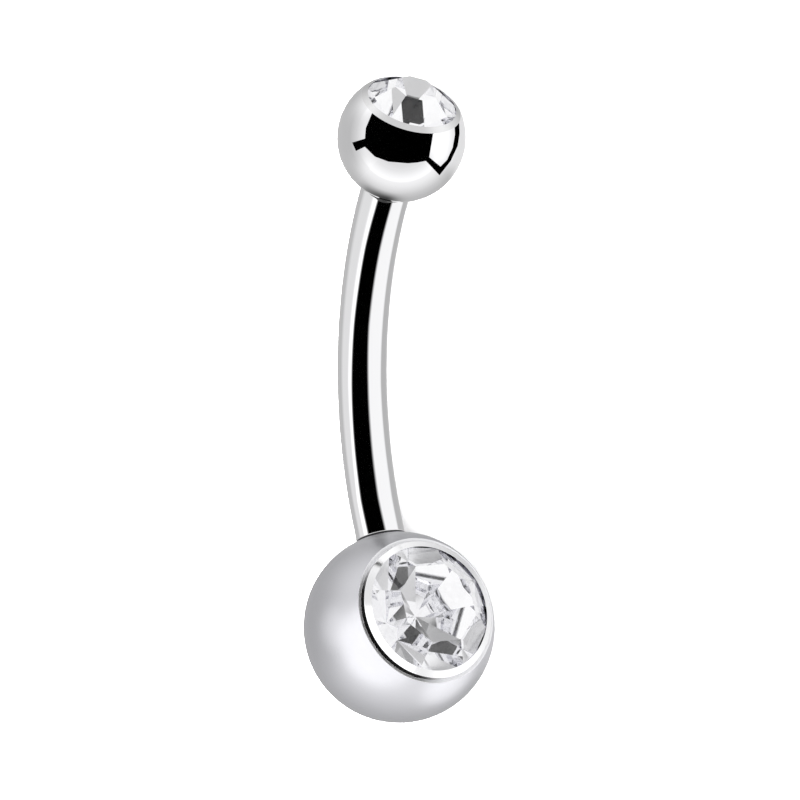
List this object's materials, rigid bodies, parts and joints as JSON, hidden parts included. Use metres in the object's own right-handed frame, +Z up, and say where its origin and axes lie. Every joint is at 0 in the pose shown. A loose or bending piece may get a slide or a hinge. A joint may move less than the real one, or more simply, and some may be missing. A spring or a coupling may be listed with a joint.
{
  "type": "navel ring",
  "caption": "Curved steel navel ring with a jewelled ball at each end; the smaller top ball unscrews.",
  "frame": {"origin": "on the surface that the ring lies on, below the lower ball's centre line and in the middle of the ring's length", "axes": "+Y along the ring towards the top ball, +Z up from the surface, +X towards the side that the lower stone faces"},
  "size_m": [0.006, 0.0203, 0.006],
  "materials": {
    "bar_steel": "mirror-polished surgical steel",
    "top_ball_steel": "mirror-polished surgical steel",
    "lower_ball_steel": "softly polished surgical steel with a bright turned lip",
    "crystal": "clear faceted crystal, foiled behind"
  },
  "bodies": {
    "curved_bar": {"bar": "bar_steel", "lower_ball": "lower_ball_steel", "lower_stone": "crystal"},
    "screw_ball": {"top_ball": "top_ball_steel", "top_stone": "crystal"}
  },
  "joints": [
    {"name": "top_ball_unscrews", "type": "slide", "parent": "curved_bar", "child": "screw_ball", "axis": [0.3661, 0.8874, 0.28], "range_m": [0, 0.002]}
  ]
}
